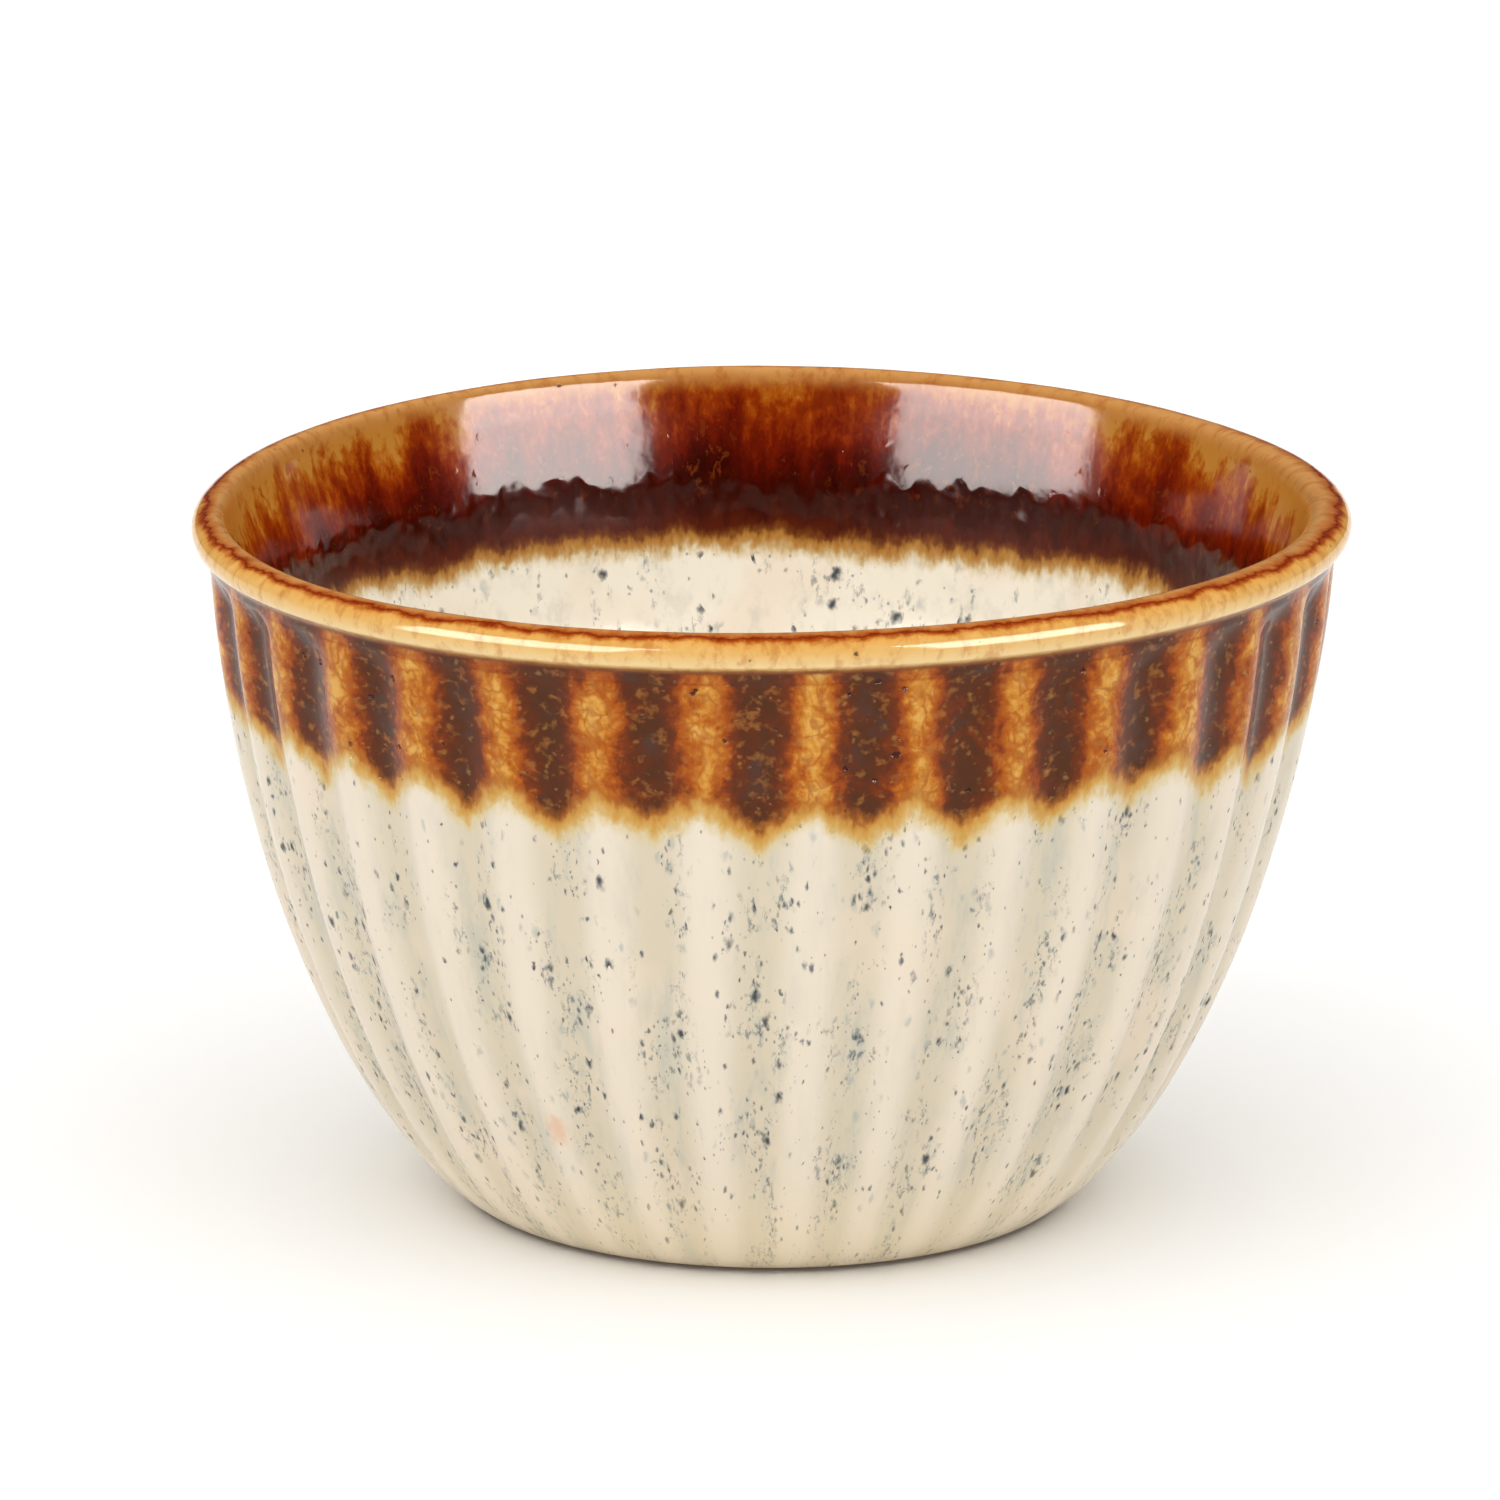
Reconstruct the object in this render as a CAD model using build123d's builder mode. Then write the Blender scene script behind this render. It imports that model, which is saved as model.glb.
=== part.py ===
from build123d import *
from math import cos, hypot, pi, radians, sin
import os

os.makedirs("parts", exist_ok=True)

# A thrown stoneware tea bowl, mouth up, standing on its foot ring.
# Frame: millimetres, origin at the centre of the face it rests on, +Z up through the mouth.

# ---- driving dimensions ----
RIM_RADIUS = 60.0          # widest point of the rolled lip, over the glaze
BOWL_HEIGHT = 74.4         # resting face to lip crest, over the glaze
GLAZE = 0.5                # thickness of the fired glaze coat

# outside of the clay wall: a flattened quarter oval that starts at the foot
FOOT_RADIUS = 29.3
WALL_RADIUS = 58.0
WALL_CURVE_HEIGHT = 78.0
WALL_CURVE_POWER = 1.95
WALL_CURVE_ROOT = 0.68

# inside of the clay wall and floor
FLOOR_TOP = 7.5
CAVITY_RADIUS = 53.0       # at CAVITY_CURVE_HEIGHT above the floor
CAVITY_CURVE_HEIGHT = 54.5
CAVITY_CURVE_ROOT = 0.2
CAVITY_TOP = 71.5
CAVITY_STATIONS = (7.9, 9.0, 11.0, 14.5, 19.5, 27.5, 37.5, 49.5, 61.5, CAVITY_TOP)

# vertical flutes cut in the outside of the wall
FLUTES = 34
FLUTE_DEPTH = 1.0
FLUTE_TOP = 69.6
FLUTE_TOP_RAMP = 3.0
FLUTE_BOTTOM = 2.0
FLUTE_BOTTOM_RAMP = 16.0
POINTS_PER_FLUTE = 4

# rolled lip: it stands proud of the wall from its neck up
NECK_HEIGHT = 70.0
NECK_LEDGE = 0.15          # flat under the lip, between the wall and the lip's rounding
LIP_OUTLINE = (            # radius, height and outward direction (degrees) of the clay lip
    (RIM_RADIUS - GLAZE - 0.3, 71.4, -45.0),
    (RIM_RADIUS - GLAZE, 72.5, 0.0),
    (RIM_RADIUS - GLAZE - 0.4, BOWL_HEIGHT - GLAZE - 0.4, 50.0),
    (57.4, BOWL_HEIGHT - GLAZE, 90.0),
    (55.4, BOWL_HEIGHT - GLAZE - 0.8, 135.0),
)

# foot ring and the recess inside it
FOOT_HEIGHT = 3.0
RECESS_RADIUS = 25.0
FOOT_EDGE_ROUND = 0.6

# where the glazes stop
GLAZE_BOTTOM = 1.0         # the foot is wiped clean below this height
BROWN_DEPTH_OUTSIDE = 20.0 # mean depth of the brown glaze below the lip crest
BROWN_DEPTH_INSIDE = 17.0
BROWN_LINE_OUTSIDE = BOWL_HEIGHT - BROWN_DEPTH_OUTSIDE
BROWN_LINE_INSIDE = BOWL_HEIGHT - BROWN_DEPTH_INSIDE
MID_WALL_RADIUS = 53.8     # lies inside the clay at the height of both lines

# heights at which the fluted wall's outline is drawn, closer where it turns under
WALL_STATIONS = (GLAZE_BOTTOM, 2.0, FOOT_HEIGHT, 5.0, 8.0, 12.0, 17.0, 23.0, 30.0, 38.0, 46.0,
                 BROWN_LINE_OUTSIDE, 62.0, 67.0, 68.5, NECK_HEIGHT)

CLEAR = 5.0                # how far cutting tools run past the surfaces


def wall_radius(z):
    """Radius of the clay wall's outside at height z, before the flutes are cut."""
    rise = 1.0 - (1.0 - z / WALL_CURVE_HEIGHT) ** WALL_CURVE_POWER
    return FOOT_RADIUS + (WALL_RADIUS - FOOT_RADIUS) * rise ** WALL_CURVE_ROOT


def cavity_radius(z):
    """Radius of the clay cavity at height z above the resting face."""
    return CAVITY_RADIUS * ((z - FLOOR_TOP) / CAVITY_CURVE_HEIGHT) ** CAVITY_CURVE_ROOT


def slope(radius_at, z):
    """Change of radius with height."""
    step = 0.01
    return (radius_at(z + step) - radius_at(z - step)) / (2.0 * step)


def ramp(value):
    """Smooth step from 0 to 1 as value goes from 0 to 1."""
    clipped = min(max(value, 0.0), 1.0)
    return clipped * clipped * (3.0 - 2.0 * clipped)


def flute_depth(z):
    """Depth of the flutes at height z: they fade out at the neck and towards the foot."""
    top = ramp((FLUTE_TOP - z) / FLUTE_TOP_RAMP)
    bottom = ramp((z - FLUTE_BOTTOM) / FLUTE_BOTTOM_RAMP)
    return FLUTE_DEPTH * top * bottom


def fluted_section(z, skin):
    """Closed outline of the wall at height z, with skin added square to the surface.

    One flute has its middle on -Y."""
    base = wall_radius(z)
    if skin > 0.0:
        base += skin * hypot(1.0, slope(wall_radius, z))
    count = FLUTES * POINTS_PER_FLUTE
    points = []
    for index in range(count):
        turn = 2.0 * pi * index / count
        radius = base - flute_depth(z) * (0.5 + 0.5 * cos(FLUTES * turn))
        points.append((radius * sin(turn), -radius * cos(turn)))
    return points


def fluted_blank(heights, skin):
    """Solid block with the fluted outside of the bowl, from the first height to the last."""
    with BuildPart() as blank:
        for z in heights:
            with BuildSketch(Plane.XY.offset(z)):
                with BuildLine():
                    Spline(*fluted_section(z, skin), periodic=True)
                make_face()
        loft(ruled=True)
    return blank.part


def lip_point(corner, skin):
    """A point of the lip's outline, moved outward by skin."""
    radius, height, direction = corner
    return (radius + skin * cos(radians(direction)), height + skin * sin(radians(direction)))


def lip_blank(skin):
    """Solid block with the outside of the rolled lip, from the neck to the crest."""
    low, belly, corner, crest, inner_edge = [lip_point(corner, skin) for corner in LIP_OUTLINE]
    neck = wall_radius(NECK_HEIGHT) + NECK_LEDGE + skin * hypot(1.0, slope(wall_radius, NECK_HEIGHT))
    with BuildPart() as blank:
        with BuildSketch(Plane.XZ):
            with BuildLine():
                Polyline(inner_edge, (0.0, inner_edge[1]), (0.0, NECK_HEIGHT), (neck, NECK_HEIGHT), low)
                ThreePointArc(low, belly, corner)
                ThreePointArc(corner, crest, inner_edge)
            make_face()
        revolve(axis=Axis.Z)
    return blank.part


def cavity_blank(skin):
    """Solid that fills the cavity; skin is the thickness of glaze on the clay."""
    points = [(0.0, FLOOR_TOP + skin)]
    for z in CAVITY_STATIONS:
        lean = slope(cavity_radius, z)
        length = hypot(1.0, lean)
        points.append((cavity_radius(z) - skin / length, z + skin * lean / length))
    mouth = lip_point(LIP_OUTLINE[-1], skin)
    above = BOWL_HEIGHT + CLEAR
    with BuildPart() as blank:
        with BuildSketch(Plane.XZ):
            with BuildLine():
                Spline(*points, tangents=((1.0, 0.0), (slope(cavity_radius, CAVITY_TOP), 1.0)))
                Polyline(points[-1], mouth, (mouth[0], above), (0.0, above), points[0])
            make_face()
        revolve(axis=Axis.Z)
    return blank.part


# ---- shared blanks ----
clay_wall = fluted_blank((0.0, 0.3) + WALL_STATIONS, 0.0)
glaze_wall = fluted_blank(WALL_STATIONS, GLAZE)
clay_lip = lip_blank(0.0)
glaze_lip = lip_blank(GLAZE)
clay_cavity = cavity_blank(0.0)
glaze_cavity = cavity_blank(GLAZE)


# ---- clay body: fluted wall, floor and rolled lip, in one piece of fired clay ----
with BuildPart() as clay_body:
    add(clay_wall)
    add(clay_lip)
    add(clay_cavity, mode=Mode.SUBTRACT)
    split(bisect_by=Plane.XY.offset(FOOT_HEIGHT), keep=Keep.TOP)
clay_body.part.label = "clay_body"
export_step(clay_body.part, "parts/clay_body.step")


# ---- foot ring: the low bare ring the bowl stands on ----
with BuildPart() as foot_ring:
    add(clay_wall)
    split(bisect_by=Plane.XY.offset(FOOT_HEIGHT), keep=Keep.BOTTOM)
    with Locations((0.0, 0.0, FOOT_HEIGHT / 2.0)):
        Cylinder(RECESS_RADIUS, FOOT_HEIGHT + CLEAR, mode=Mode.SUBTRACT)
    inner_edge = foot_ring.edges().filter_by(GeomType.CIRCLE).group_by(Axis.Z)[0].sort_by(SortBy.RADIUS)[0]
    fillet(inner_edge, radius=FOOT_EDGE_ROUND)
foot_ring.part.label = "foot_ring"
export_step(foot_ring.part, "parts/foot_ring.step")


# ---- cream glaze on the outside, from the foot up to the brown glaze ----
with BuildPart() as cream_glaze_outside:
    add(glaze_wall)
    add(clay_wall, mode=Mode.SUBTRACT)
    split(bisect_by=Plane.XY.offset(BROWN_LINE_OUTSIDE), keep=Keep.BOTTOM)
cream_glaze_outside.part.label = "cream_glaze_outside"
export_step(cream_glaze_outside.part, "parts/cream_glaze_outside.step")


# ---- cream glaze on the floor and the lower inside wall ----
with BuildPart() as cream_glaze_inside:
    add(clay_cavity)
    add(glaze_cavity, mode=Mode.SUBTRACT)
    split(bisect_by=Plane.XY.offset(BROWN_LINE_INSIDE), keep=Keep.BOTTOM)
cream_glaze_inside.part.label = "cream_glaze_inside"
export_step(cream_glaze_inside.part, "parts/cream_glaze_inside.step")


# ---- brown glaze: one coat that wraps the rim, inside and outside ----
with BuildPart() as brown_rim_glaze:
    add(glaze_wall)
    add(glaze_lip)
    add(glaze_cavity, mode=Mode.SUBTRACT)
    add(clay_body.part, mode=Mode.SUBTRACT)
    split(bisect_by=Plane.XY.offset(BROWN_LINE_OUTSIDE), keep=Keep.TOP)
    with Locations((0.0, 0.0, BROWN_LINE_INSIDE)):
        Cylinder(MID_WALL_RADIUS, 2.0 * (BROWN_DEPTH_OUTSIDE - BROWN_DEPTH_INSIDE) + CLEAR,
                 align=(Align.CENTER, Align.CENTER, Align.MAX), mode=Mode.SUBTRACT)
brown_rim_glaze.part.label = "brown_rim_glaze"
export_step(brown_rim_glaze.part, "parts/brown_rim_glaze.step")
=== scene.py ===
import math

import bpy
import numpy as np
from mathutils import Matrix, Vector


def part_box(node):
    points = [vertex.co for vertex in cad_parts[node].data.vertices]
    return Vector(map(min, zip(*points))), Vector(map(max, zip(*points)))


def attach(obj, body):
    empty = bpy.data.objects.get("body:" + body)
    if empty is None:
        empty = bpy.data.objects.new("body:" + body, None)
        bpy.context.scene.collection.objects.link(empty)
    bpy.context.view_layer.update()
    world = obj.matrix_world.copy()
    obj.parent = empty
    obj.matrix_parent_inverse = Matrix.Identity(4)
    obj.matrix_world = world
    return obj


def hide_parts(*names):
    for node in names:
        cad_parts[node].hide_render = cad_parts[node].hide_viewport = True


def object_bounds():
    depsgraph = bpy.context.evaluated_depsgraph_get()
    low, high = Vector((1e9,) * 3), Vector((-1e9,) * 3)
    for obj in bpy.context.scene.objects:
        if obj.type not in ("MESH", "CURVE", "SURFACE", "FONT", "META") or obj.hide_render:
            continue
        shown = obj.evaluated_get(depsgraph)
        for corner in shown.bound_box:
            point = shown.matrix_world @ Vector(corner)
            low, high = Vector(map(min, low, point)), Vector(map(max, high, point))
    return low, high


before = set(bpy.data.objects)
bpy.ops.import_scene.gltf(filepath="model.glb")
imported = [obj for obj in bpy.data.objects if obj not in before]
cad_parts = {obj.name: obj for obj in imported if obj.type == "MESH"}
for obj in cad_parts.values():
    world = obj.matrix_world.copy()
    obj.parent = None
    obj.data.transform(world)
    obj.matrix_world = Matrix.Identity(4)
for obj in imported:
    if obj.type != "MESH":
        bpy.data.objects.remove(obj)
CAD_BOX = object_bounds()

# ---------------------------------------------------------------- sizes, in millimetres
MM = 0.001
BOWL_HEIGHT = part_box("brown_rim_glaze")[1].z / MM
RIM_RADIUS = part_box("brown_rim_glaze")[1].x / MM
GLAZE_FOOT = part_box("cream_glaze_outside")[0].z / MM       # the glaze starts here, above the bare foot
SPLIT_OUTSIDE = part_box("cream_glaze_outside")[1].z / MM    # cream piece below, brown piece above
SPLIT_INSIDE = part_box("cream_glaze_inside")[1].z / MM
FOOT_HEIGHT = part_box("foot_ring")[1].z / MM
FLOOR_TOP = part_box("cream_glaze_inside")[0].z / MM         # top of the clay floor, under its glaze
GLAZE = 0.5                                                # thickness of the glaze coats

# outside and inside of the clay, the same curves as the solids have
FOOT_RADIUS, WALL_RADIUS = 29.3, 58.0
WALL_CURVE_HEIGHT, WALL_CURVE_POWER, WALL_CURVE_ROOT = 78.0, 1.95, 0.68
CAVITY_RADIUS, CAVITY_CURVE_HEIGHT, CAVITY_CURVE_ROOT = 53.0, 54.5, 0.2

# what the photograph's reflections show besides: the mouth opens out, and the wall thins half-way
FLARE, FLARE_HEIGHT = 0.0095, 60.5
CAVITY_SWELL, CAVITY_SWELL_HEIGHT, CAVITY_SWELL_REACH = 1.2, 48.0, 9.5

# hand-cut flutes
FLUTES = 34
PITCH = 2.0 * math.pi / FLUTES
FLUTE_DEPTH = 1.15
FLUTE_PHASE = math.radians(-1.0)      # the flute that faces the viewer is a little to the left
FLUTE_JITTER = 0.045                  # of a pitch
FLUTE_TOP = 69.6                      # the cuts fade out below this height, under the lip
FLUTE_ROUNDING = 0.85                 # below 1 the flutes are wider than the ridges
FLUTE_WAVE = 9.0                      # a flute winds from side to side over about six times this height

# the lip: corners of its outline over the glaze (radius, height, size of the rounding)
NECK = 69.4
LIP_CORNERS = (
    (RIM_RADIUS - 1.6, 70.75, 0.6),
    (RIM_RADIUS - 0.45, 71.3, 0.5),
    (RIM_RADIUS - 0.02, 72.5, 0.9),
    (RIM_RADIUS - 0.4, BOWL_HEIGHT - 0.9, 0.6),
    (RIM_RADIUS - 1.5, BOWL_HEIGHT - 0.18, 0.8),
    (RIM_RADIUS - 3.0, BOWL_HEIGHT + 0.05, 1.2),
    (RIM_RADIUS - 4.1, BOWL_HEIGHT - 0.6, 1.3),
)
CAVITY_TOP = 70.4                     # here the lip bends into the inside wall,
MOUTH_BEND = 3.0                      # over this length

# the rim is a little out of true
RIM_TILT = 0.45                       # its near left is this much lower, its near right higher
RIM_LEAN = 0.15                       # its right side is this much higher, its left lower
RIM_BACK = 0.12                       # half of what its back is higher than its front
RIM_SAG = 0.75                        # its left and right sides are this much lower than its front
LIP_SHIFT = 0.5                       # the lip's inner edge lies this much further left than it should
WALL_BULGE = 0.2                      # the wall lies this much to the right, and is as much wider

# unevenness of the hand-thrown wall: size, waves round the bowl, their height, seed
THROWN = ((0.05, 23, 14.0, 1), (0.02, 61, 5.0, 2))

# where the brown glaze ends
RIDGE_EDGE = SPLIT_OUTSIDE + 1.5      # on the ridges
HANG = 3.7                            # how far it runs down in a flute below that
INSIDE_EDGE = SPLIT_INSIDE - 1.4
EDGE_WANDER, EDGE_FRAY = 0.7, 0.35    # how far the edge strays up and down, slowly and quickly

COLUMNS = FLUTES * 18                 # points round the bowl
TURN = 2.0 * math.pi
CYLINDER = 50.0                       # radius on which the glaze's pattern is laid out
CLAY_GAP = 0.02                       # keeps the clay's skin from lying in the back of the glaze


# ---------------------------------------------------------------- shape helpers
def smooth(value):
    """Smooth step from 0 to 1 as value goes from 0 to 1."""
    clipped = np.clip(value, 0.0, 1.0)
    return clipped * clipped * (3.0 - 2.0 * clipped)


def wall_radius(z):
    """Outside of the clay between the flutes."""
    rise = 1.0 - (1.0 - z / WALL_CURVE_HEIGHT) ** WALL_CURVE_POWER
    return FOOT_RADIUS + (WALL_RADIUS - FOOT_RADIUS) * rise ** WALL_CURVE_ROOT


def cavity_radius(z):
    """Inside of the clay."""
    swell = CAVITY_SWELL * np.exp(-((z - CAVITY_SWELL_HEIGHT) / CAVITY_SWELL_REACH) ** 2)
    flare = FLARE * np.maximum(z - FLARE_HEIGHT, 0.0) ** 2
    curve = CAVITY_RADIUS * ((z - FLOOR_TOP) / CAVITY_CURVE_HEIGHT) ** CAVITY_CURVE_ROOT
    return curve + swell + flare


def offset(curve, z, distance):
    """Points of a curve radius(z), moved outward from the clay wall by distance."""
    step = 0.001
    slope = (curve(z + step) - curve(z - step)) / (2.0 * step)
    length = np.hypot(1.0, slope)
    return np.column_stack((curve(z) + distance / length, z - distance * slope / length))


def rounded(corners, steps=12):
    """A path through corners (radius, height, rounding), each cut off by a smooth bend."""
    points = []
    for before, corner, after in zip(corners, corners[1:], corners[2:]):
        here = np.array(corner[:2])
        to_before, to_after = np.array(before[:2]) - here, np.array(after[:2]) - here
        reach_before = min(corner[2], 0.49 * np.hypot(*to_before)) / np.hypot(*to_before)
        reach_after = min(corner[2], 0.49 * np.hypot(*to_after)) / np.hypot(*to_after)
        start, end = here + to_before * reach_before, here + to_after * reach_after
        for t in np.linspace(0.0, 1.0, steps):
            points.append((1 - t) ** 2 * start + 2 * t * (1 - t) * here + t * t * end)
    return np.array(points)


def lattice_noise(psi, along, cells, spacing, seed):
    """Smooth random values from -1 to 1 over the surface, that close on themselves round the bowl."""
    rows = 256
    table = np.random.default_rng(seed).uniform(-1.0, 1.0, (rows, cells))
    u, v = (psi / TURN) % 1.0 * cells, along / spacing + rows / 2
    column, row = np.floor(u).astype(int), np.floor(v).astype(int)
    fu, fv = smooth(u - column), smooth(v - row)
    right, row, above = (column + 1) % cells, row % rows, (row + 1) % rows
    column = column % cells
    low = table[row, column] * (1 - fu) + table[row, right] * fu
    high = table[above, column] * (1 - fu) + table[above, right] * fu
    return low * (1 - fv) + high * fv


# ---------------------------------------------------------------- outline of the glazed surface
def bowl_path():
    """Distances along the glaze surface from the foot over the lip to the floor's middle,
    with the points (radius, height) and the outward normals there."""
    outside_heights = GLAZE_FOOT + (NECK - GLAZE_FOOT) * np.linspace(0.0, 1.0, 500) ** 1.6
    outside = offset(wall_radius, outside_heights, GLAZE)
    lowest = FLOOR_TOP + 0.02
    inside_heights = lowest + (CAVITY_TOP - lowest) * np.linspace(1.0, 0.0, 700) ** 2.2
    inside = offset(cavity_radius, inside_heights, -GLAZE)
    well_radius, well_dip = 12.0, 0.35     # the middle of the floor dips a little
    inside = inside[inside[:, 0] > well_radius]
    inner, height = inside[-1]
    well = [(inner * (1 - t), height - well_dip * (1 - (1 - t) ** 2))
            for t in np.linspace(0.02, 1.0, 40)]
    bend, inside = inside[0], inside[inside[:, 1] < CAVITY_TOP - MOUTH_BEND]
    corners = [(*outside[-1], 0.0), *LIP_CORNERS, (*bend, MOUTH_BEND), (*inside[0], 0.0)]
    path = np.vstack((outside, rounded(corners), inside, well))
    step = np.hypot(*np.diff(path, axis=0).T)
    path = path[np.concatenate(([True], step > 1e-4))]
    along = np.concatenate(([0.0], np.cumsum(np.hypot(*np.diff(path, axis=0).T))))
    tangent = np.gradient(path, along, axis=0)
    normal = np.column_stack((tangent[:, 1], -tangent[:, 0]))
    normal /= np.hypot(*normal.T)[:, None]
    return along, path, normal


ALONG, PATH, NORMAL = bowl_path()
CREST = int(np.argmax(PATH[:, 1]))     # the point where the outline turns from outside to inside


def outside_at(height):
    """Distance along the outline where the outside passes a height."""
    return float(np.interp(height, PATH[:CREST, 1], ALONG[:CREST]))


def inside_at(height):
    """Distance along the outline where the inside passes a height."""
    return float(np.interp(-height, -PATH[CREST:, 1], ALONG[CREST:]))


S_NECK = outside_at(NECK)
S_INNER_EDGE = inside_at(CAVITY_TOP)

# one rusty fleck low on the near left side, as a place in the pattern squeezed by RUST_SQUEEZE
RUST_TURN, RUST_HEIGHT, RUST_SQUEEZE = math.radians(-28.0), 17.5, 0.6
RUST_SPOT = (CYLINDER * math.sin(RUST_TURN), -CYLINDER * math.cos(RUST_TURN),
             RUST_SQUEEZE * outside_at(RUST_HEIGHT))


# ---------------------------------------------------------------- flutes
def flute_table():
    """Where each flute lies, and how deep, wide and winding it is."""
    rng = np.random.default_rng(7)
    return {
        "centre": FLUTE_PHASE + PITCH * (np.arange(FLUTES) + rng.uniform(-1, 1, FLUTES) * FLUTE_JITTER),
        "depth": rng.uniform(0.82, 1.12, FLUTES),
        "width": rng.uniform(0.90, 1.0, FLUTES),
        "wander": rng.uniform(-1, 1, FLUTES) * 0.035 * PITCH,
        "start": rng.uniform(0, TURN, FLUTES),
        "hang": rng.uniform(0.72, 1.15, FLUTES),
    }


FLUTE = flute_table()


def flutes(psi, z):
    """Depth of the cut, how far into a flute this is (0 on a ridge, 1 in the middle),
    and how far the brown glaze hangs here (about 0 to 1)."""
    nominal = np.floor((psi - FLUTE_PHASE) / PITCH).astype(int)
    depth = np.zeros(np.broadcast(psi, z).shape)
    share, hang = depth.copy(), depth.copy()
    for neighbour in (-1, 0, 1, 2):
        k = (nominal + neighbour) % FLUTES
        centre = FLUTE["centre"][k] + FLUTE["wander"][k] * np.sin(z / FLUTE_WAVE + FLUTE["start"][k])
        away = np.abs((psi - centre + math.pi) % TURN - math.pi) / PITCH
        shape = np.where(away < 0.5 * FLUTE["width"][k],
                         0.5 + 0.5 * np.cos(TURN * away / FLUTE["width"][k]), 0.0)
        depth = np.maximum(depth, shape ** FLUTE_ROUNDING * FLUTE["depth"][k])
        share = np.maximum(share, shape ** FLUTE_ROUNDING)
        hang = np.maximum(hang, np.clip(1.0 - away / 0.43, 0.0, 1.0) ** 0.9 * FLUTE["hang"][k])
    fade = (0.25 + 0.75 * smooth((FLUTE_TOP - z) / 3.0)) * smooth((z - 2.0) / 16.0)
    return depth * fade * FLUTE_DEPTH, share, hang


# ---------------------------------------------------------------- surface of the bowl
def warp(along, psi, height):
    """How far the finished bowl strays outward and upward from a true turned shape."""
    right, back = np.sin(psi), 1.0 - np.cos(psi)
    inside_lip = smooth((along - ALONG[CREST] + 1.5) / 4.0)
    outward = -LIP_SHIFT * right * smooth((height - 56.0) / 16.0) * inside_lip
    outward = outward + WALL_BULGE * (1.0 + right) * smooth((height - 35.0) / 30.0)
    upward = RIM_TILT * right * (2.0 - back) + RIM_LEAN * right - RIM_SAG * right ** 2 + RIM_BACK * back
    return outward, upward * smooth((height - 50.0) / 22.0)


def surface(along, psi, skin):
    """Points of the glazed surface in millimetres, moved out by skin, and what the materials
    need to know there."""
    along, psi = along[:, None], psi[None, :]
    radius = np.interp(along, ALONG, PATH[:, 0]) + 0.0 * psi
    height = np.interp(along, ALONG, PATH[:, 1]) + 0.0 * psi
    out_r, out_z = np.interp(along, ALONG, NORMAL[:, 0]), np.interp(along, ALONG, NORMAL[:, 1])
    depth, share, hang = flutes(psi, height)
    outside = (along <= S_NECK + 2.0) + 0.0 * psi
    neck_fade = 1.0 - smooth((along - S_NECK + 0.6) / 1.0)
    uneven = sum(size * lattice_noise(psi, along, waves, length, seed)
                 for size, waves, length, seed in THROWN)
    push = skin - depth * neck_fade + uneven * smooth((height - 1.0) / 4.0)
    outward, upward = warp(along, psi, height)
    radius = radius + push * out_r + outward
    points = np.stack((radius * np.sin(psi), -radius * np.cos(psi),
                       height + push * out_z + upward), axis=-1)
    level = 0.0 * along
    edge_out = RIDGE_EDGE - HANG * hang + EDGE_WANDER * lattice_noise(psi, level, 34, 9.0, 3)
    edge_out = edge_out + EDGE_FRAY * lattice_noise(psi, along, 150, 2.5, 4)
    edge_in = INSIDE_EDGE + EDGE_WANDER * lattice_noise(psi, level, 13, 9.0, 5)
    edge_in = edge_in + EDGE_WANDER * lattice_noise(psi, level, 47, 9.0, 6)
    brown = height - np.where(along > ALONG[CREST], edge_in, edge_out)
    pattern = np.stack((CYLINDER * np.sin(psi) + 0.0 * along, -CYLINDER * np.cos(psi) + 0.0 * along,
                        along + 0.0 * psi), axis=-1)
    return points, {
        "flute": share * outside,                       # 0 on a ridge, 1 in a flute
        "brown": brown,                                 # height above the brown glaze's edge
        "pattern": pattern,                             # where the glaze's pattern is looked up
        "from_neck": along - S_NECK + 0.0 * psi,        # distance over the lip
        "height": height,
        # depth below the rim; the glaze ran thinner at the sides and front than at the back
        "below_rim": BOWL_HEIGHT - 1.2 - height - 2.2 * np.cos(psi) - 2.5 * np.sin(psi) ** 2,
    }


def shell(name, start, end, step, columns, back_step=2.4, to_axis=False):
    """A closed coat of glaze between two distances along the outline, with its back against the clay."""
    psi = np.arange(columns) * TURN / columns
    front_rows = np.linspace(start, end, max(2, int(round((end - start) / step)) + 1))
    back_rows = np.linspace(start, end, max(2, int(round((end - start) / back_step)) + 1))
    front, facts = surface(front_rows, psi, 0.0)
    back, back_facts = surface(back_rows, psi, -GLAZE)
    return closed_mesh(name, front, back, facts, back_facts, to_axis)


def ring_faces(first, rows, columns, flip):
    """Four-sided faces of a grid that closes on itself round the bowl."""
    row, column = np.meshgrid(np.arange(rows - 1), np.arange(columns), indexing="ij")
    a = first + row * columns + column
    b = first + row * columns + (column + 1) % columns
    faces = np.stack((a, b, b + columns, a + columns), axis=-1).reshape(-1, 4)
    return faces[:, ::-1] if flip else faces


def new_piece(name, points, faces, sharp):
    """An object with a smooth shaded mesh, sharp where its faces meet at more than an angle."""
    mesh = bpy.data.meshes.new(name)
    mesh.from_pydata(points, [], faces)
    mesh.shade_smooth()
    mesh.set_sharp_from_angle(angle=math.radians(sharp))
    piece = bpy.data.objects.new(name, mesh)
    bpy.context.scene.collection.objects.link(piece)
    return piece


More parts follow.
